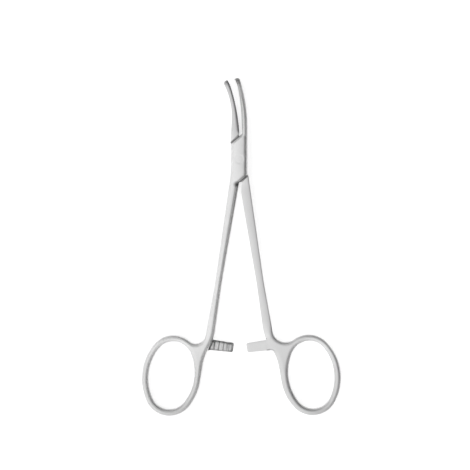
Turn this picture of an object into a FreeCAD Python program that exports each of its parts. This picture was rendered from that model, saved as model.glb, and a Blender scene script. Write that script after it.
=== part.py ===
"""Curved box-lock hemostat forceps, 125 mm, lying on its back and a few degrees open.

The rings are seen face on along -Z, the jaws point to +Y and curve to -X.
The origin is on the pivot axis, at the back face of the box.
The box half holds still; the tongue half swings about +Z.
"""
import FreeCAD, Part
import math
import os
from FreeCAD import Vector

# Swing of the tongue half about the pivot, in degrees from closed
OPEN_AT_REST = 5.5
OPEN_LIMIT = 50.5

# Box lock
BOX_WIDTH = 6.0
BOX_THICKNESS = 4.6
SHOULDER_RISE = 8.4
SHOULDER_ANGLE = 39.5
SHOULDER_BREAK = 0.5
BOX_FLAT_BEYOND = 1.0
BOX_CORE = 3.0
TONGUE_WIDTH = 3.6
TONGUE_LEAN = 7.0
TONGUE_THICKNESS = 1.8
PIN_DIAMETER = 1.8

# Clearances
SLIDE_CLEARANCE = 0.04
PIN_CLEARANCE = 0.03
SHOULDER_CLEARANCE = 0.15
BITE_CLEARANCE = 0.05
SHANK_CLEARANCE = 0.15
CLICK_CLEARANCE = 0.08

# Jaws, in the closed position
JAW_REACH = 29.7
TIP_THICKNESS = 2.2
JAW_TIP_WIDTH = 1.8
JAW_BACK_BREAK = 0.55
JAW_EDGE_BREAK = 0.2
TIP_ROUND = 1.0
BITE_OFFSET = 0.95
BITE_START = 12.0
BITE_RADIUS = 70.0
HOOK_LENGTH = 3.2
HOOK_RADIUS = 11.0
TOOTH_PITCH = 0.8
TOOTH_DEPTH = 0.3
TONGUE_JAW_SHOULDER = 2.3
TONGUE_JAW_NECK = 1.42
TONGUE_JAW_NECK_AT = 14.0

# Shanks, measured down the centre line from where the two centre lines cross
SPLAY = 9.1
CROSSING = 2.5
SHANK_THICKNESS = 3.0
SHANK_UPPER_AT = 21.0
SHANK_WAIST_AT = 48.0
SHANK_FOOT_AT = 68.0
SHANK_SHOULDER_WIDTH = 3.9
SHANK_UPPER_WIDTH = 3.3
SHANK_WAIST_WIDTH = 2.6
SHANK_FOOT_WIDTH = 3.4
SHANK_PLAIN_TOP = 1.5
EDGE_ROUND = 1.15
SHANK_SHOULDER_RADIUS = 60.0
SHANK_RADIUS = 120.0
FOOT_OUTER_RADIUS = 30.0
FOOT_INNER_RADIUS = 15.0
SHANK_TAPER_RADIUS = 300.0
JAW_TAPER_RADIUS = 100.0

# Finger rings
RING_BORE_WIDTH = 16.7
RING_BORE_LENGTH = 24.8
RING_END_RADIUS = 6.8
RING_WALL = 2.4
RING_BELOW_FOOT = 16.4
RING_TURN = 7.2
BOX_RING_OFFSET = 11.6
TONGUE_RING_OFFSET = 13.2
TONGUE_RING_EXTRA = 0.5
RING_INNER_RADIUS = 20.0
BOX_CROTCH_RADIUS = 3.5
TONGUE_CROTCH_RADIUS = 5.0

# Ratchet bars
BAR_BELOW_FOOT = 2.85
BAR_WIDTH = 3.4
BAR_FLARE = 0.6
BOX_BAR_END = 9.15
TONGUE_BAR_END = 8.6
BAR_CORNER = 0.6
BAR_INNER_ROUND = 1.2
BAR_UNDER_ROUND = 2.5
BAR_FADE = 0.5
RATCHET_PITCH = 1.7
RATCHET_DEPTH = 0.6
RATCHET_TEETH = 3
RATCHET_LEAD = 1.8

MID = BOX_THICKNESS / 2
HALF_BOX = BOX_WIDTH / 2
RING_STATION = SHANK_FOOT_AT + RING_BELOW_FOOT
BAR_STATION = SHANK_FOOT_AT + BAR_BELOW_FOOT
SHOULDER_GAP = SHOULDER_CLEARANCE / math.cos(math.radians(SHOULDER_ANGLE))
BOX_SIDE = 1
TONGUE_SIDE = -1

# Reach of a cutting shape that has to pass every outline, and the slack when an edge is picked
BEYOND = 60.0
SLACK = 0.05

# Lean from level, in degrees, below which a face is a cap and above which it is a side wall
CAP_ANGLE = 26.0
WALL_ANGLE = 60.0


def turned(shape, degrees):
    """The shape turned about the pivot axis."""
    copy = shape.copy()
    copy.rotate(Vector(0, 0, 0), Vector(0, 0, 1), degrees)
    return copy


def fused(shapes):
    """One solid from solids that overlap."""
    return shapes[0].multiFuse(shapes[1:]).removeSplitter()


def outline(corners, place):
    """Closed wire of straight runs through (a, b, radius) corners, with tangent arcs."""
    count = len(corners)
    points = [Vector(a, b, 0) for a, b, radius in corners]
    starts = []
    stops = []
    edges = []
    for i in range(count):
        here = points[i]
        radius = corners[i][2]
        back = (points[i - 1] - here).normalize()
        ahead = (points[(i + 1) % count] - here).normalize()
        half = back.getAngle(ahead) / 2
        reach = radius / math.tan(half)
        starts.append(here + back * reach)
        stops.append(here + ahead * reach)
        if radius > 0:
            inward = (back + ahead).normalize() * (radius / math.sin(half) - radius)
            arc = Part.Arc(place(starts[i]), place(here + inward), place(stops[i]))
            edges.append(arc.toShape())
    for i in range(count):
        edges.append(Part.LineSegment(place(stops[i - 1]), place(starts[i])).toShape())
    return Part.Wire(Part.__sortEdges__(edges))


def plate(corners, bottom=0.0, top=BOX_THICKNESS):
    """Flat plate whose outline has the given (x, y, radius) corners."""
    wire = outline(corners, lambda p: Vector(p.x, p.y, bottom))
    return Part.Face(wire).extrude(Vector(0, 0, top - bottom))


def tangent_arc(start, heading, end):
    """Arc that leaves start along the heading and ends at end."""
    chord = end - start
    normal = Vector(-heading.y, heading.x, 0)
    radius = chord.Length ** 2 / (2 * chord.dot(normal))
    centre = start + normal * radius
    middle = ((start + end) * 0.5 - centre).normalize()
    return Part.Arc(start, centre + middle * abs(radius), end).toShape()


def side_profile():
    """The forceps from the side: thick at the box, thin at the tips and the rings."""
    half_tip = TIP_THICKNESS / 2
    half_shank = SHANK_THICKNESS / 2
    box_end = SHOULDER_RISE + BOX_FLAT_BEYOND
    slope = (MID - half_tip) / (JAW_REACH - box_end)
    far = JAW_REACH + TIP_THICKNESS
    bends = [
        (far, half_tip - slope * (far - JAW_REACH), 0),
        (box_end, MID, JAW_TAPER_RADIUS),
        (-box_end, MID, SHANK_TAPER_RADIUS),
        (-SHANK_WAIST_AT, half_shank, SHANK_TAPER_RADIUS),
        (-2 * BEYOND, half_shank, 0),
    ]
    upper = [(y, MID + half, radius) for y, half, radius in bends]
    lower = [(y, MID - half, radius) for y, half, radius in reversed(bends)]
    wire = outline(upper + lower, lambda p: Vector(-BEYOND, p.x, p.y))
    return Part.Face(wire).extrude(Vector(2 * BEYOND, 0, 0))


def tilt(face):
    """Degrees by which a face leans from level at its middle, whether it looks up or down."""
    u0, u1, v0, v1 = face.ParameterRange
    upward = abs(face.normalAt((u0 + u1) / 2, (v0 + v1) / 2).z)
    return math.degrees(math.acos(min(upward, 1)))


def is_cap(face):
    """True for a face that looks up or down, give or take the tapers."""
    return tilt(face) < CAP_ANGLE


def is_slant(face):
    """True for a ground flat between a cap and a side wall."""
    return CAP_ANGLE < tilt(face) < WALL_ANGLE


def rim(shape, wanted, inner=is_cap):
    """Edges round the inner faces whose middle point is wanted."""
    edges = []
    for edge in shape.Edges:
        faces = shape.ancestorsOfType(edge, Part.Face)
        if len(faces) != 2 or inner(faces[0]) == inner(faces[1]):
            continue
        if wanted(edge.valueAt((edge.FirstParameter + edge.LastParameter) / 2)):
            edges.append(edge)
    return edges


def softened(shape, radius, wanted):
    """The shape with its wanted rims ground in three flats that follow a rounding radius."""
    flat = radius * (2 - math.sqrt(2))
    corner = radius * (math.tan(math.pi / 8) - math.tan(math.pi / 16))
    shape = shape.makeChamfer(flat, rim(shape, wanted))
    return shape.makeChamfer(corner, rim(shape, wanted, is_slant))


def upright_edges(shape, x, y):
    """Upright edges that stand at x, y."""
    edges = []
    for edge in shape.Edges:
        low = edge.valueAt(edge.FirstParameter)
        high = edge.valueAt(edge.LastParameter)
        near = math.hypot(low.x - x, low.y - y) + math.hypot(high.x - x, high.y - y)
        if near < SLACK:
            edges.append(edge)
    return edges


def half_space(angle, rise, above):
    """Everything above or below a line at an angle to +X that crosses the axis at a rise."""
    block = Part.makeBox(4 * BEYOND, 4 * BEYOND, 4 * BOX_THICKNESS)
    block.translate(Vector(-2 * BEYOND, 0 if above else -4 * BEYOND, -BOX_THICKNESS))
    block = turned(block, angle)
    block.translate(Vector(0, rise, 0))
    return block


def shoulder_groove(rise):
    """V-grooves on both faces along a shoulder line that crosses the axis at a rise."""
    half = SHOULDER_CLEARANCE / 2 + SHOULDER_BREAK
    wide = half + BOX_THICKNESS
    grooves = []
    for face, way in ((BOX_THICKNESS, 1), (0, -1)):
        points = [
            Vector(-BEYOND, -wide, face + way * BOX_THICKNESS),
            Vector(-BEYOND, 0, face - way * half),
            Vector(-BEYOND, wide, face + way * BOX_THICKNESS),
        ]
        groove = Part.Face(Part.makePolygon(points + points[:1])).extrude(Vector(2 * BEYOND, 0, 0))
        groove = turned(groove, SHOULDER_ANGLE)
        groove.translate(Vector(0, rise, 0))
        grooves.append(groove)
    return Part.makeCompound(grooves)


def bite_point(along):
    """Point and turn of the bite line at a length along it from where it starts to bend."""
    plain = JAW_REACH - HOOK_LENGTH - BITE_START
    turn = min(max(along, 0), plain) / BITE_RADIUS
    outward = Vector(math.cos(turn), math.sin(turn), 0)
    point = Vector(BITE_OFFSET - BITE_RADIUS, BITE_START + min(along, 0), 0) + outward * BITE_RADIUS
    if along > plain:
        centre = point - outward * HOOK_RADIUS
        turn += (along - plain) / HOOK_RADIUS
        point = centre + Vector(math.cos(turn), math.sin(turn), 0) * HOOK_RADIUS
    return point, turn


def beside(along, offset):
    """Point beside the bite line, on the box half's side where the offset is positive."""
    point, turn = bite_point(along)
    return point + Vector(math.cos(turn), math.sin(turn), 0) * offset


def bite_space(offset):
    """Space on the tongue half's side of the serrated bite line."""
    length = JAW_REACH - BITE_START
    points = [beside(-2 * BITE_START, offset), beside(0, offset)]
    for i in range(int(length / TOOTH_PITCH)):
        points.append(beside((i + 0.5) * TOOTH_PITCH, offset + TOOTH_DEPTH / 2))
        points.append(beside((i + 1.0) * TOOTH_PITCH, offset - TOOTH_DEPTH / 2))
    points.append(beside(length + HOOK_LENGTH, offset))
    points.append(Vector(-BEYOND, BEYOND, 0))
    points.append(Vector(-BEYOND, -BITE_START, 0))
    points.append(points[0])
    space = Part.Face(Part.makePolygon(points)).extrude(Vector(0, 0, 2 * BOX_THICKNESS))
    space.translate(Vector(0, 0, -MID))
    return space


def jaw(side):
    """Jaw of one half in the closed position, with its broken edges and its serrations."""
    crest = -side * (TOOTH_DEPTH - BITE_CLEARANCE) / 2
    plain = JAW_REACH - HOOK_LENGTH - BITE_START
    foot = beside(-BITE_START - SHOULDER_RISE, crest)
    tip = beside(plain + HOOK_LENGTH, crest)
    back_tip = beside(plain + HOOK_LENGTH, crest + side * JAW_TIP_WIDTH)
    neck = Vector(HALF_BOX, BITE_START, 0)
    heading = Vector(0, 1, 0)
    if side == TONGUE_SIDE:
        neck = Vector(-TONGUE_JAW_NECK, TONGUE_JAW_NECK_AT, 0)
        spread = TONGUE_JAW_SHOULDER - TONGUE_JAW_NECK
        heading = Vector(spread, TONGUE_JAW_NECK_AT - SHOULDER_RISE, 0).normalize()
    root = neck - heading * ((neck.y - foot.y) / heading.y)
    bend = beside(0, crest)
    hook = beside(plain, crest)
    edges = [
        Part.LineSegment(foot, bend).toShape(),
        Part.Arc(bend, beside(plain / 2, crest), hook).toShape(),
        Part.Arc(hook, beside(plain + HOOK_LENGTH / 2, crest), tip).toShape(),
        Part.LineSegment(tip, back_tip).toShape(),
        tangent_arc(neck, heading, back_tip),
        Part.LineSegment(neck, root).toShape(),
        Part.LineSegment(root, foot).toShape(),
    ]
    face = Part.Face(Part.Wire(Part.__sortEdges__(edges)))
    blank = face.extrude(Vector(0, 0, BOX_THICKNESS))
    blank = blank.makeFillet(TIP_ROUND, upright_edges(blank, back_tip.x, back_tip.y))
    blank = blank.common(side_profile())

    def on_bite(p):
        along = min(max(p.y - BITE_START, -2 * BITE_START), plain + HOOK_LENGTH)
        return abs(p.x - beside(along, crest).x) < JAW_TIP_WIDTH / 4 and p.y < tip.y - SLACK

    def on_back(p):
        return p.y > foot.y + 2 * SLACK and not on_bite(p)

    blank = blank.makeChamfer(JAW_BACK_BREAK, rim(blank, on_back))
    blank = blank.makeChamfer(JAW_EDGE_BREAK, rim(blank, on_bite))
    space = bite_space(side * BITE_CLEARANCE / 2)
    if side == BOX_SIDE:
        return blank.cut(space)
    return blank.common(space)


def placed(shape, side):
    """A right-hand handle moved from its own centre line to its place on one side."""
    shape.rotate(Vector(0, 0, 0), Vector(0, 0, 1), SPLAY)
    shape.translate(Vector(0, CROSSING, 0))
    if side == BOX_SIDE:
        return shape.mirror(Vector(0, 0, 0), Vector(1, 0, 0))
    return shape


def shank_inner(down, ring_side):
    """Distance off the centre line of the inner edge between the shank's foot and the ring."""
    half_foot = SHANK_FOOT_WIDTH / 2
    bend = (RING_STATION + SHANK_FOOT_AT) / 2
    share = (down - SHANK_FOOT_AT) / (bend - SHANK_FOOT_AT)
    return -half_foot + share * (ring_side + half_foot)


def oval_side_radius(half_length, half_width, end_radius):
    """Radius of the wide side arcs that meet the tight end arcs of an oval smoothly."""
    square = half_width ** 2 + half_length ** 2 - 2 * half_length * end_radius
    return square / (2 * (half_width - end_radius))


def oval(middle, long_way, half_length, half_width, end_radius):
    """Flat oval plate of two tight end arcs and two wide side arcs."""
    wide_way = Vector(long_way.y, -long_way.x, 0)
    side_radius = oval_side_radius(half_length, half_width, end_radius)
    side_centre = wide_way * (side_radius - half_width)
    end_centre = long_way * (half_length - end_radius)
    joint = end_centre + (end_centre + side_centre).normalize() * end_radius
    along = long_way * joint.dot(long_way)
    across = wide_way * joint.dot(wide_way)
    corners = [middle + along + across, middle + along - across]
    corners += [middle - along - across, middle - along + across]
    crests = [long_way * half_length, wide_way * -half_width]
    crests += [long_way * -half_length, wide_way * half_width]
    edges = []
    for i in range(4):
        edges.append(Part.Arc(corners[i], middle + crests[i], corners[(i + 1) % 4]).toShape())
    return Part.Face(Part.Wire(edges)).extrude(Vector(0, 0, BOX_THICKNESS))


def handle_blank(ring_offset, extra, crotch_radius):
    """Flat shank and finger ring about the shank's own centre line, with a soft crotch."""
    lean = math.radians(RING_TURN - SPLAY)
    long_way = Vector(-math.sin(lean), math.cos(lean), 0)
    wide_way = Vector(math.cos(lean), math.sin(lean), 0)
    centre = Vector(ring_offset, -RING_STATION, 0)
    half_length = RING_BORE_LENGTH / 2
    half_width = RING_BORE_WIDTH / 2
    rim_length = half_length + RING_WALL
    rim_width = half_width + RING_WALL + extra / 2
    rim_radius = RING_END_RADIUS + RING_WALL
    rim_centre = centre - wide_way * (extra / 2)
    ring = oval(rim_centre, long_way, rim_length, rim_width, rim_radius)
    bore = oval(centre, long_way, half_length, half_width, RING_END_RADIUS)
    side_radius = oval_side_radius(rim_length, rim_width, rim_radius)
    side_centre = rim_centre + wide_way * (side_radius - rim_width)
    ring_side = side_centre.x - side_radius
    ring_level = -side_centre.y
    half_foot = SHANK_FOOT_WIDTH / 2
    half_waist = SHANK_WAIST_WIDTH / 2
    half_upper = SHANK_UPPER_WIDTH / 2
    half_shoulder = SHANK_SHOULDER_WIDTH / 2
    turn = math.radians(SPLAY)
    top = HALF_BOX * math.sin(turn) + (CROSSING - SHOULDER_RISE) * math.cos(turn)
    top_out = HALF_BOX * math.cos(turn) - (CROSSING - SHOULDER_RISE) * math.sin(turn)
    box_end = top + (top_out - half_shoulder) / math.tan(turn)
    shank = plate([
        (top_out, -top, 0),
        (half_shoulder, -box_end, SHANK_SHOULDER_RADIUS),
        (half_waist, -SHANK_WAIST_AT, SHANK_RADIUS),
        (half_foot, -SHANK_FOOT_AT, FOOT_OUTER_RADIUS),
        (ring_side + RING_WALL / 2, -ring_level, 0),
        (ring_side, -ring_level, 0),
        (ring_side, -(RING_STATION + SHANK_FOOT_AT) / 2, RING_INNER_RADIUS),
        (-half_foot, -SHANK_FOOT_AT, FOOT_INNER_RADIUS),
        (-half_waist, -SHANK_WAIST_AT, SHANK_RADIUS),
        (-half_upper, -SHANK_UPPER_AT, SHANK_RADIUS),
        (-half_upper, -top, 0),
    ])
    blank = fused([shank, ring]).cut(bore)
    crotch = []
    for edge in blank.Edges:
        low = edge.valueAt(edge.FirstParameter)
        high = edge.valueAt(edge.LastParameter)
        upright = abs(low.z - high.z) > BOX_THICKNESS / 2
        beside_ring = half_foot < low.x < ring_side + RING_WALL
        above_middle = -RING_STATION + RING_WALL / 2 < low.y < -RING_STATION + half_length
        if upright and beside_ring and above_middle:
            crotch.append(edge)
    return blank.makeFillet(crotch_radius, crotch), ring_side


def ratchet_bar(side, ring_side):
    """Ratchet bar with saw teeth on the face that meets the other bar."""
    end = BOX_BAR_END if side == BOX_SIDE else TONGUE_BAR_END
    upper = BAR_STATION - BAR_WIDTH / 2
    lower = BAR_STATION + BAR_WIDTH / 2
    seat = -SHANK_FOOT_WIDTH / 2 + EDGE_ROUND
    flared = lower + BAR_FLARE
    under = shank_inner(flared, ring_side) + EDGE_ROUND / 2
    fade = flared + BAR_UNDER_ROUND + BAR_FADE
    fade_out = shank_inner(fade, ring_side) + EDGE_ROUND / 2
    plan = plate([
        (-end, -upper, BAR_CORNER),
        (-end, -lower, BAR_CORNER),
        (under, -flared, BAR_UNDER_ROUND),
        (fade_out, -fade, 0),
        (fade_out + EDGE_ROUND / 2, -fade, 0),
        (seat + EDGE_ROUND / 2, -upper + 2 * BAR_INNER_ROUND, 0),
        (seat, -upper + 2 * BAR_INNER_ROUND, 0),
        (seat, -upper, BAR_INNER_ROUND),
    ])
    back = SHANK_THICKNESS / 2
    root = CLICK_CLEARANCE / 2 + RATCHET_DEPTH
    points = [(BEYOND, back), (-BEYOND, back), (-BEYOND, root), (-end + RATCHET_LEAD, root)]
    for i in range(RATCHET_TEETH):
        step = -end + RATCHET_LEAD + (i + 1) * RATCHET_PITCH
        points.append((step, root - RATCHET_DEPTH))
        points.append((step, root))
    points.append((BEYOND, root))
    points.append(points[0])
    way = -1 if side == BOX_SIDE else 1
    outline_points = [Vector(out, 0, MID + way * z) for out, z in points]
    teeth = Part.Face(Part.makePolygon(outline_points)).extrude(Vector(0, -2 * BEYOND, 0))
    return plan.common(teeth)


def handle(side):
    """Shank, finger ring and ratchet bar of one half at rest, with rounded edges."""
    if side == BOX_SIDE:
        blank, ring_side = handle_blank(BOX_RING_OFFSET, 0, BOX_CROTCH_RADIUS)
    else:
        blank, ring_side = handle_blank(TONGUE_RING_OFFSET, TONGUE_RING_EXTRA, TONGUE_CROTCH_RADIUS)
    bar = placed(ratchet_bar(side, ring_side), side)
    blank = placed(blank, side).common(side_profile())
    top = max(v.Y for v in blank.Vertexes) - SHANK_PLAIN_TOP
    body = softened(blank, EDGE_ROUND, lambda p: p.y < top)
    return fused([body, bar])


def slot_space():
    """Room that the tongue sweeps between closed and fully open, seen from above."""
    half = TONGUE_WIDTH / 2 + SHOULDER_CLEARANCE
    closed = math.radians(90 + TONGUE_LEAN)
    opened = closed + math.radians(OPEN_LIMIT)

    def side_point(angle, wing, along):
        across = Vector(math.sin(angle), -math.cos(angle), 0) * half * wing
        return across + Vector(math.cos(angle), math.sin(angle), 0) * along

    knee_angle = (closed + opened) / 2
    knee = Vector(math.sin(knee_angle), -math.cos(knee_angle), 0)
    knee = knee * (half / math.cos((opened - closed) / 2))
    points = [
        side_point(closed, 1, BEYOND),
        knee,
        side_point(opened, 1, -BEYOND),
        side_point(closed, -1, -BEYOND),
        knee * -1,
        side_point(opened, -1, BEYOND),
    ]
    thickness = TONGUE_THICKNESS + 2 * SLIDE_CLEARANCE
    space = plate([(p.x, p.y, 0) for p in points], MID - thickness / 2, MID + thickness / 2)
    space = space.cut(half_space(SHOULDER_ANGLE, SHOULDER_RISE, True))
    return space.cut(half_space(SHOULDER_ANGLE, -SHOULDER_RISE, False))


def box_half():
    """The half with the box: its jaw is on the right, its shank and ring on the left."""
    above = half_space(SHOULDER_ANGLE, SHOULDER_RISE, True)
    below = half_space(SHOULDER_ANGLE, -SHOULDER_RISE, False)
    upper_groove = shoulder_groove(SHOULDER_RISE + SHOULDER_GAP / 2)
    lower_groove = shoulder_groove(-SHOULDER_RISE - SHOULDER_GAP / 2)
    core = BOX_CORE / 2
    centre = plate([(-core, BEYOND, 0), (core, BEYOND, 0), (core, -BEYOND, 0), (-core, -BEYOND, 0)])
    centre = centre.common(side_profile()).cut(above).cut(below).cut(upper_groove).cut(lower_groove)
    body = fused([
        jaw(BOX_SIDE).cut(below).cut(lower_groove),
        centre,
        handle(BOX_SIDE).cut(above).cut(upper_groove),
    ])
    pin_hole = Part.makeCylinder(PIN_DIAMETER / 2, BOX_THICKNESS)
    return body.cut(slot_space()).cut(pin_hole)


def slot_corner_reach():
    """Distance from the pivot to the corner of the slot's lower end and the box half's shank."""
    splay = math.radians(SPLAY)
    slant = math.tan(math.radians(SHOULDER_ANGLE))
    across = SHANK_UPPER_WIDTH / 2 - (SHOULDER_RISE + CROSSING) * math.sin(splay)
    x = across / (math.cos(splay) - slant * math.sin(splay))
    return math.hypot(x, slant * x - SHOULDER_RISE)


def tongue_half():
    """The half with the tongue: its jaw is on the left, its shank and ring on the right."""
    upper = half_space(SHOULDER_ANGLE, SHOULDER_RISE + SHOULDER_GAP, False)
    lower = half_space(SHOULDER_ANGLE, -SHOULDER_RISE - SHOULDER_GAP, True)
    reserve = plate([
        (BEYOND, 0, 0),
        (-SHANK_UPPER_WIDTH / 2 - SHANK_CLEARANCE, 0, 0),
        (-SHANK_UPPER_WIDTH / 2 - SHANK_CLEARANCE, -SHANK_WAIST_AT, 0),
        (BEYOND, -SHANK_WAIST_AT, 0),
    ])
    reserve = placed(reserve, BOX_SIDE)
    shank = turned(handle(TONGUE_SIDE), -OPEN_AT_REST).cut(lower).cut(reserve)
    shank = shank.cut(shoulder_groove(-SHOULDER_RISE - SHOULDER_GAP / 2))
    tip_side = jaw(TONGUE_SIDE).cut(upper).cut(shoulder_groove(SHOULDER_RISE + SHOULDER_GAP / 2))
    half = TONGUE_WIDTH / 2
    tongue = plate(
        [(-half, BEYOND, 0), (half, BEYOND, 0), (half, -BEYOND, 0), (-half, -BEYOND, 0)],
        MID - TONGUE_THICKNESS / 2,
        MID + TONGUE_THICKNESS / 2,
    )
    lap = SHOULDER_RISE + 2 * SHOULDER_GAP
    tongue = turned(tongue, TONGUE_LEAN)
    tongue = tongue.cut(half_space(SHOULDER_ANGLE, lap, True))
    tongue = tongue.cut(half_space(SHOULDER_ANGLE, -lap, False))
    swing = Part.makeCylinder(slot_corner_reach() - SHANK_CLEARANCE, BOX_THICKNESS)
    tongue = tongue.cut(reserve.cut(swing))
    body = fused([tip_side, tongue, shank])
    bore = Part.makeCylinder(PIN_DIAMETER / 2 + PIN_CLEARANCE, BOX_THICKNESS)
    return turned(body.cut(bore), OPEN_AT_REST)


def pivot_pin():
    """Riveted pin, ground flush with both cheeks."""
    return Part.makeCylinder(PIN_DIAMETER / 2, BOX_THICKNESS)


os.makedirs("parts", exist_ok=True)
parts = {
    "box_half": box_half(),
    "tongue_half": tongue_half(),
    "pivot_pin": pivot_pin(),
}
for name, shape in parts.items():
    shape.exportStep("parts/" + name + ".step")
    box = shape.BoundBox
    print(name, len(shape.Solids), shape.isValid(), round(shape.Volume, 2), box)
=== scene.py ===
"""Curved hemostat forceps in satin steel, seen from straight above on a white table."""
import math

import bpy
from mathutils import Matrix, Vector


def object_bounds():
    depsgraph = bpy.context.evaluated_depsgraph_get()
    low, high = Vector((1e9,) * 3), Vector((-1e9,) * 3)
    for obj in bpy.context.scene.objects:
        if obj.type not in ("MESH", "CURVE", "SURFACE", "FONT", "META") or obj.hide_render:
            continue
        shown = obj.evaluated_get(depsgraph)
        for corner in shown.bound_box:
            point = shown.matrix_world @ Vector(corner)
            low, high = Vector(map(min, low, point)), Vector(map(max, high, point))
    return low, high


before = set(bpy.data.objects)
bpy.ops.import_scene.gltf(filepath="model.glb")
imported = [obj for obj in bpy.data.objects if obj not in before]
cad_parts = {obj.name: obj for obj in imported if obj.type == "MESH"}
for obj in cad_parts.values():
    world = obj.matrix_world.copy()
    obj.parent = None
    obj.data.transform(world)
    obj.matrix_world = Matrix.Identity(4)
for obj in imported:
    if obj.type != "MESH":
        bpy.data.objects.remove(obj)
cad_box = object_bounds()

# Photograph: pixels on a side, millimetres a pixel, and the pixel that the pivot falls on
PICTURE = 470
MM_PER_PIXEL = 0.366
PIVOT_COLUMN = 238.8
PIVOT_ROW = 159.0

# Camera: focal length and sensor in millimetres, then in metres the height at which the scale
# holds, half way up the forceps, and the furthest that it sees
LENS = 100.0
SENSOR = 36.0
MIDDLE_HEIGHT = (cad_box[0][2] + cad_box[1][2]) / 2
FAR_LIMIT = 10.0

# From here on lengths are in metres and angles in degrees

# Bare steel, and painted shade that sets how bright it is from the rings to the tips: (place along
# Y, share)
STEEL = (0.84, 0.84, 0.84, 1)
BOX_HALF_PAINTED_SHADE = [
    (-0.092, 0.83), (-0.078, 0.88), (-0.068, 1.0), (-0.040, 0.98), (-0.008, 1.0),
    (0.007, 1.0), (0.014, 0.98), (0.026, 0.90), (0.029, 0.42),
]
TONGUE_HALF_PAINTED_SHADE = [
    (-0.092, 0.83), (-0.078, 0.88), (-0.066, 0.97), (-0.056, 0.91), (-0.012, 0.91), (-0.008, 1.0),
    (0.007, 1.0), (0.011, 0.84), (0.026, 0.80), (0.029, 0.44),
]

# Rounded look of ground bars: how far it reaches in from an edge, and the distances from the
# pivot between which it sets in, so that the ground pin doesn't show
CROWN_REACH = 0.0016
PIN_RADIUS = 0.0009
CROWN_STARTS = (PIN_RADIUS + 0.0003, PIN_RADIUS + 0.0012)

# Cheeks of the box: their stretch along Y, how softly it ends and how much they are domed
CHEEK_Y = (-0.0085, 0.0085)
CHEEK_SOFT = 0.0006
CHEEK_DOME = 65.0

# Flatter stretches of the tongue half: along Y its shank sets in at the foot and ends at the
# foot of the jaw, and along X its ratchet bar ends where it meets the shank
SHANK_FOOT_Y = (-0.066, -0.056)
JAW_FOOT_Y = (0.0080, 0.0105)
BAR_FOOT_X = (0.0085, 0.0105)

# Painted shade along the shoulder lines, the gaps where a jaw and a shank meet the box: slant,
# distance from the pivot, half width, place along X about which they mirror, how far they run past
# it, and darkness
SHOULDER_ANGLE = 39.5
SHOULDER_AWAY = 0.00656
SHOULDER_HALF = 0.0003
SHOULDER_MIDDLE = -0.00045
SHOULDER_PAST = 0.00075
SHOULDER_DARKNESS = 0.54

# Painted shade in the corner where the two shanks part below the box
CROTCH = (-0.0010, -0.0092, 0.0)
CROTCH_REACH = 0.0016
CROTCH_DARKNESS = 0.75

# Ratchet bar with its teeth in view, given painted shade that makes it a little darker than the
# rest
TEETH_X = (-0.0098, -0.0005)
TEETH_Y = (-0.0712, -0.0662)
TEETH_SOFT = 0.0004
TEETH_SHADE = 0.16

# Grooves: how far their shade reaches, and the share kept for each share of open sky
GROOVE_REACH = 0.0012
GROOVE_TONES = [(0.40, 0.50), (0.85, 1.0)]

# Textures, in waves a metre: grain and scratches along X, Y and Z, blasting and clouds all round
GRAIN_WAVES = (9000, 350, 9000)
SCRATCH_WAVES = (700, 60, 700)
SCRATCH_TURN = 24
BLAST_WAVES = 6500.0
CLOUD_WAVES = 90.0
CLOUD_TONES = [(0.3, 0.94), (0.7, 1.0)]

# What the textures do to the roughness and to the height of the surface
GRAIN_ROUGHNESS = 0.08
CLOUD_ROUGHNESS = 0.06
SCRATCH_ROUGHNESS = [(0.60, 0.0), (0.72, 0.10)]
GRAIN_STRENGTH = 0.12
GRAIN_DEPTH = 0.00002

# Finish and painted shade of each node: its painted shade along Y, mean roughness and turn of the
# grain, how rounded its bars look, how far the flatter stretches undo that, and whether it has the
# teeth in view, which get painted shade
FINISHES_AND_SHADE = {
    "box_half": dict(shade_along_y=BOX_HALF_PAINTED_SHADE, roughness=0.25, grain_turn=8, crown=2.0, teeth=True),
    "tongue_half": dict(
        shade_along_y=TONGUE_HALF_PAINTED_SHADE, roughness=0.32, grain_turn=-8, crown=1.5, flatness=5.0
    ),
    "pivot_pin": dict(shade_along_y=BOX_HALF_PAINTED_SHADE, roughness=0.25, grain_turn=8, crown=0.0),
}

# Faces that meet at less than this angle are shaded as one
SHARP_ANGLE = 32

# Table: its side, how far it lies below the forceps, its paint and its share of plain white
TABLE_SIDE = 3.0
TABLE_DROP = 0.00005
TABLE_PAINT = (0.80, 0.80, 0.80, 1)
TABLE_GLOW = 0.62

# Light tent: how much a direction counts for pointing up, right and back, what is added, and
# the grey that the sum gives
TENT_UP = 0.55
TENT_RIGHT = 0.52
TENT_BACK = 0.30
TENT_ADDED = 0.2
TENT_TONES = [(0.0, 0.13), (0.2, 0.20), (0.45, 0.46), (0.70, 0.88), (0.85, 1.0)]

# Places of the two colours among a Mix node's inputs, and of its colour among the outputs
MIX_FIRST = 6
MIX_SECOND = 7
MIX_RESULT = 2


def shader(tree, kind, **inputs):
    """New node with its own sockets set, such as Scale=2."""
    node = tree.nodes.new(kind)
    for name, value in inputs.items():
        node.inputs[name].default_value = value
    return node


def feed(tree, node, values):
    """Gives a node's first inputs their sockets or values, in order."""
    for socket, value in zip(node.inputs, values):
        if hasattr(value, "is_linked"):
            tree.links.new(value, socket)
        else:
            socket.default_value = value


def maths(tree, operation, *values):
    """Math node on sockets or numbers."""
    node = tree.nodes.new("ShaderNodeMath")
    node.operation = operation
    feed(tree, node, values)
    return node.outputs[0]


def vectors(tree, operation, *values):
    """Vector math node on sockets or vectors."""
    node = tree.nodes.new("ShaderNodeVectorMath")
    node.operation = operation
    feed(tree, node, values)
    return node.outputs["Value" if operation in ("LENGTH", "DISTANCE") else "Vector"]


def split(tree, vector):
    """Outputs X, Y and Z of a vector."""
    node = tree.nodes.new("ShaderNodeSeparateXYZ")
    feed(tree, node, [vector])
    return node.outputs


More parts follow.
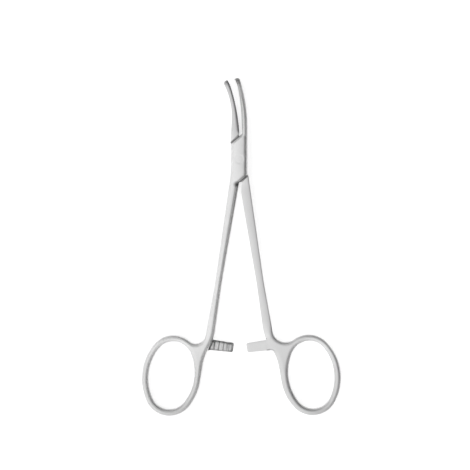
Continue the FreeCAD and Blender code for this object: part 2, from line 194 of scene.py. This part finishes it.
def ramp(tree, source, stops):
    """Colour ramp fed by a socket; stops are (place, grey)."""
    node = tree.nodes.new("ShaderNodeValToRGB")
    node.color_ramp.interpolation = "EASE"
    elements = node.color_ramp.elements
    while len(elements) > 1:
        elements.remove(elements[-1])
    elements[0].position = stops[0][0]
    elements[0].color = (stops[0][1],) * 3 + (1,)
    for place, grey in stops[1:]:
        element = elements.new(place)
        element.color = (grey,) * 3 + (1,)
    feed(tree, node, [source])
    return node.outputs[0]


def fade(tree, source, low, high):
    """0 below the low value, 1 above the high one and smooth between them."""
    node = tree.nodes.new("ShaderNodeMapRange")
    node.interpolation_type = "SMOOTHSTEP"
    feed(tree, node, [source, low, high])
    return node.outputs["Result"]


def window(tree, source, low, high, soft):
    """1 between two values and 0 outside them, with soft ends."""
    opens = fade(tree, source, low - soft, low + soft)
    closes = fade(tree, source, high - soft, high + soft)
    return maths(tree, "SUBTRACT", opens, closes)


def darkened(tree, tone, where, darkness):
    """Tone with a share of it taken away where a mask is 1."""
    taken = maths(tree, "MULTIPLY", where, darkness)
    return maths(tree, "MULTIPLY", tone, maths(tree, "SUBTRACT", 1.0, taken))


def flattened(tree, place):
    """Place as seen along the pivot axis."""
    return vectors(tree, "MULTIPLY", place, (1, 1, 0))


def flat_stretch(tree, axes):
    """1 along the tongue half's shank and bar, which are ground flatter, 0 on its ring and jaw."""
    above_foot = fade(tree, axes["Y"], *SHANK_FOOT_Y)
    shank = maths(tree, "SUBTRACT", above_foot, fade(tree, axes["Y"], *JAW_FOOT_Y))
    bar = maths(tree, "SUBTRACT", 1.0, fade(tree, axes["X"], *BAR_FOOT_X))
    bar = maths(tree, "MULTIPLY", bar, maths(tree, "SUBTRACT", 1.0, above_foot))
    return maths(tree, "ADD", shank, bar)


def crowned(tree, place, strength, flatness):
    """Normal of a belt-ground bar: it leans outwards more and more towards the edges."""
    away = vectors(tree, "LENGTH", flattened(tree, place))
    share = maths(tree, "MULTIPLY", fade(tree, away, *CROWN_STARTS), strength)
    near = shader(tree, "ShaderNodeBevel", Radius=CROWN_REACH)
    near.samples = 12
    flat = tree.nodes.new("ShaderNodeNewGeometry").outputs["Normal"]
    lean = vectors(tree, "SUBTRACT", near.outputs["Normal"], flat)
    leaning = vectors(tree, "MULTIPLY_ADD", lean, share, flat)

    axes = split(tree, place)
    dome = maths(tree, "MULTIPLY", axes["X"], CHEEK_DOME)
    dome = maths(tree, "MULTIPLY", dome, window(tree, axes["Y"], *CHEEK_Y, CHEEK_SOFT))
    lift = maths(tree, "MULTIPLY", split(tree, flat)["Z"], flatness)
    lift = maths(tree, "MULTIPLY", lift, flat_stretch(tree, axes))
    change = tree.nodes.new("ShaderNodeCombineXYZ")
    feed(tree, change, [dome, 0.0, lift])
    return vectors(tree, "NORMALIZE", vectors(tree, "ADD", leaning, change.outputs[0]))


def shoulder_gap_shade(tree, axes):
    """1 along the two slanted gaps where jaw and shank meet the box, where painted shade goes, 0
    elsewhere.
    """
    slant = math.radians(SHOULDER_ANGLE)
    rise = maths(tree, "MULTIPLY", axes["Y"], math.cos(slant))
    run = maths(tree, "MULTIPLY", axes["X"], math.sin(slant))
    away = maths(tree, "ABSOLUTE", maths(tree, "SUBTRACT", rise, run))
    inner = SHOULDER_AWAY - SHOULDER_HALF
    outer = SHOULDER_AWAY + SHOULDER_HALF
    line = window(tree, away, inner, outer, SHOULDER_HALF)
    beside = maths(tree, "SUBTRACT", SHOULDER_MIDDLE, axes["X"])
    beside = maths(tree, "MULTIPLY", beside, maths(tree, "SIGN", axes["Y"]))
    reach = fade(tree, beside, -SHOULDER_PAST - SHOULDER_HALF, -SHOULDER_PAST + SHOULDER_HALF)
    return maths(tree, "MULTIPLY", line, reach)


def crotch_shade(tree, place):
    """1 in the dark corner where the two shanks part below the box, 0 away from it."""
    away = vectors(tree, "DISTANCE", flattened(tree, place), CROTCH)
    return maths(tree, "SUBTRACT", 1.0, fade(tree, away, 0.0, CROTCH_REACH))


def toothed_bar(tree, axes):
    """1 on the ratchet bar whose teeth are in view, where painted shade goes, 0 elsewhere."""
    over_x = window(tree, axes["X"], *TEETH_X, TEETH_SOFT)
    over_y = window(tree, axes["Y"], *TEETH_Y, TEETH_SOFT)
    return maths(tree, "MULTIPLY", over_x, over_y)


def painted_shade(tree, place, shade_along_y, teeth):
    """Painted shade as a share of light kept: less on the rings, the jaws, the toothed bar, along
    the shoulder gaps, in the crotch and down in grooves.
    """
    axes = split(tree, place)
    low = shade_along_y[0][0]
    span = shade_along_y[-1][0] - low
    along = maths(tree, "DIVIDE", maths(tree, "SUBTRACT", axes["Y"], low), span)
    tone = ramp(tree, along, [((y - low) / span, share) for y, share in shade_along_y])
    if teeth:
        # Painted shade on the ratchet bar with its teeth in view
        tone = darkened(tree, tone, toothed_bar(tree, axes), TEETH_SHADE)
    # Painted shade along the shoulder gaps
    tone = darkened(tree, tone, shoulder_gap_shade(tree, axes), SHOULDER_DARKNESS)
    tone = darkened(tree, tone, crotch_shade(tree, place), CROTCH_DARKNESS)
    groove = shader(tree, "ShaderNodeAmbientOcclusion", Distance=GROOVE_REACH)
    groove.only_local = True
    groove.samples = 8
    return maths(tree, "MULTIPLY", tone, ramp(tree, groove.outputs["AO"], GROOVE_TONES))


def waves(tree, place, scale, detail, roughness):
    """Noise texture at a place, in waves a metre."""
    noise = shader(
        tree, "ShaderNodeTexNoise", Scale=scale, Detail=detail, Roughness=roughness
    )
    tree.links.new(place, noise.inputs["Vector"])
    return noise.outputs["Fac"]


def stretched(tree, place, scale, turn):
    """Place scaled along each axis and turned about the pivot axis."""
    space = shader(
        tree, "ShaderNodeMapping", Scale=scale, Rotation=(0, 0, math.radians(turn))
    )
    tree.links.new(place, space.inputs["Vector"])
    return space.outputs[0]


def satin_steel(name, shade_along_y, roughness, grain_turn, crown, flatness=0.0, teeth=False):
    """Stainless steel with a fine satin grain along the part and faint handling marks, with
    painted shade in its colour.
    """
    material = bpy.data.materials.new(name)
    material.use_nodes = True
    tree = material.node_tree
    surface = tree.nodes["Principled BSDF"]
    surface.inputs["Metallic"].default_value = 1.0
    place = tree.nodes.new("ShaderNodeTexCoord").outputs["Object"]

    grain = waves(tree, stretched(tree, place, GRAIN_WAVES, grain_turn), 1.0, 3.0, 0.6)
    blast = waves(tree, place, BLAST_WAVES, 2.0, 0.5)
    cloud = waves(tree, place, CLOUD_WAVES, 4.0, 0.55)
    scratch_place = stretched(tree, place, SCRATCH_WAVES, grain_turn + SCRATCH_TURN)
    scratch = waves(tree, scratch_place, 1.0, 6.0, 0.75)

    tone = ramp(tree, cloud, CLOUD_TONES)
    # Painted shade along the part, on the toothed bar, at the shoulders, in the crotch and in
    # grooves
    tone = maths(tree, "MULTIPLY", tone, painted_shade(tree, place, shade_along_y, teeth))
    tint = tree.nodes.new("ShaderNodeMix")
    tint.data_type = "RGBA"
    tint.blend_type = "MULTIPLY"
    tint.inputs["Factor"].default_value = 1.0
    tint.inputs[MIX_FIRST].default_value = STEEL
    tree.links.new(tone, tint.inputs[MIX_SECOND])
    tree.links.new(tint.outputs[MIX_RESULT], surface.inputs["Base Color"])

    grain_part = maths(tree, "MULTIPLY", grain, GRAIN_ROUGHNESS)
    cloud_part = maths(tree, "MULTIPLY", cloud, CLOUD_ROUGHNESS)
    rough = maths(tree, "ADD", grain_part, cloud_part)
    rough = maths(tree, "ADD", rough, ramp(tree, scratch, SCRATCH_ROUGHNESS))
    texture_mean = (GRAIN_ROUGHNESS + CLOUD_ROUGHNESS) / 2
    rough = maths(tree, "ADD", rough, roughness - texture_mean)
    tree.links.new(rough, surface.inputs["Roughness"])

    bump = shader(tree, "ShaderNodeBump", Strength=GRAIN_STRENGTH, Distance=GRAIN_DEPTH)
    tree.links.new(crowned(tree, place, crown, flatness), bump.inputs["Normal"])
    tree.links.new(maths(tree, "ADD", grain, blast), bump.inputs["Height"])
    tree.links.new(bump.outputs["Normal"], surface.inputs["Normal"])
    return material


def smooth_by_angle(piece, degrees):
    """Smooth shading, with an edge kept sharp where its faces turn by more than the angle."""
    limit = math.cos(math.radians(degrees))
    mesh = piece.data
    faces_of = {}
    for polygon in mesh.polygons:
        for key in polygon.edge_keys:
            faces_of.setdefault(key, []).append(polygon.normal)
    for edge in mesh.edges:
        normals = faces_of.get(edge.key, [])
        edge.use_edge_sharp = len(normals) == 2 and normals[0].dot(normals[1]) < limit
    mesh.polygons.foreach_set("use_smooth", [True] * len(mesh.polygons))
    mesh.update()


def dress(node, material):
    """Gives a CAD node its material."""
    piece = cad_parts[node]
    for place in piece.material_slots:
        place.material = material


def table():
    """White table top that stays white to the camera and in reflections, with its shadow."""
    bpy.ops.mesh.primitive_plane_add(size=TABLE_SIDE, location=(0, 0, -TABLE_DROP))
    top = bpy.context.object
    top.name = "table_top"
    material = bpy.data.materials.new("table_white")
    material.use_nodes = True
    tree = material.node_tree
    tree.nodes.clear()
    output = tree.nodes.new("ShaderNodeOutputMaterial")
    paint = shader(tree, "ShaderNodeBsdfDiffuse", Color=TABLE_PAINT)
    glow = tree.nodes.new("ShaderNodeEmission")
    rays = tree.nodes.new("ShaderNodeLightPath").outputs
    seen = maths(tree, "MAXIMUM", rays["Is Camera Ray"], rays["Is Glossy Ray"])
    seen = maths(tree, "MAXIMUM", seen, rays["Is Transmission Ray"])
    tree.links.new(maths(tree, "MULTIPLY", seen, TABLE_GLOW), glow.inputs["Strength"])
    both = tree.nodes.new("ShaderNodeAddShader")
    tree.links.new(paint.outputs[0], both.inputs[0])
    tree.links.new(glow.outputs[0], both.inputs[1])
    tree.links.new(both.outputs[0], output.inputs["Surface"])
    top.data.materials.append(material)


def studio():
    """Light tent: bright overhead and to the left, grey low down and to the right."""
    world = bpy.data.worlds.new("light_tent")
    bpy.context.scene.world = world
    world.use_nodes = True
    tree = world.node_tree
    tree.nodes.clear()
    output = tree.nodes.new("ShaderNodeOutputWorld")
    axes = split(tree, tree.nodes.new("ShaderNodeTexCoord").outputs["Generated"])
    up = maths(tree, "MULTIPLY", axes["Z"], TENT_UP)
    right = maths(tree, "MULTIPLY", axes["X"], TENT_RIGHT)
    back = maths(tree, "MULTIPLY", axes["Y"], TENT_BACK)
    lifted = maths(tree, "SUBTRACT", up, maths(tree, "ADD", right, back))
    lifted = maths(tree, "ADD", lifted, TENT_ADDED)
    tent = shader(tree, "ShaderNodeBackground", Strength=1.0)
    tree.links.new(ramp(tree, lifted, TENT_TONES), tent.inputs["Color"])
    white = shader(tree, "ShaderNodeBackground", Color=(1, 1, 1, 1), Strength=1.0)
    choice = tree.nodes.new("ShaderNodeMixShader")
    seen = tree.nodes.new("ShaderNodeLightPath").outputs["Is Camera Ray"]
    tree.links.new(seen, choice.inputs[0])
    tree.links.new(tent.outputs[0], choice.inputs[1])
    tree.links.new(white.outputs[0], choice.inputs[2])
    tree.links.new(choice.outputs[0], output.inputs["Surface"])


def camera():
    """Camera straight above, with the pivot where the photograph has it."""
    data = bpy.data.cameras.new("camera")
    data.lens = LENS
    data.sensor_width = SENSOR
    data.clip_end = FAR_LIMIT
    scale = MM_PER_PIXEL / 1000
    middle = (PICTURE - 1) / 2
    away = PICTURE * scale * LENS / SENSOR
    piece = bpy.data.objects.new("camera", data)
    piece.location = Vector((
        (middle - PIVOT_COLUMN) * scale,
        (PIVOT_ROW - middle) * scale,
        MIDDLE_HEIGHT + away,
    ))
    bpy.context.scene.collection.objects.link(piece)
    bpy.context.scene.camera = piece


for name, finish_and_shade in FINISHES_AND_SHADE.items():
    dress(name, satin_steel("satin_steel_" + name, **finish_and_shade))
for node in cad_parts.values():
    smooth_by_angle(node, SHARP_ANGLE)
table()
studio()
camera()
bpy.context.scene.view_settings.view_transform = "Standard"
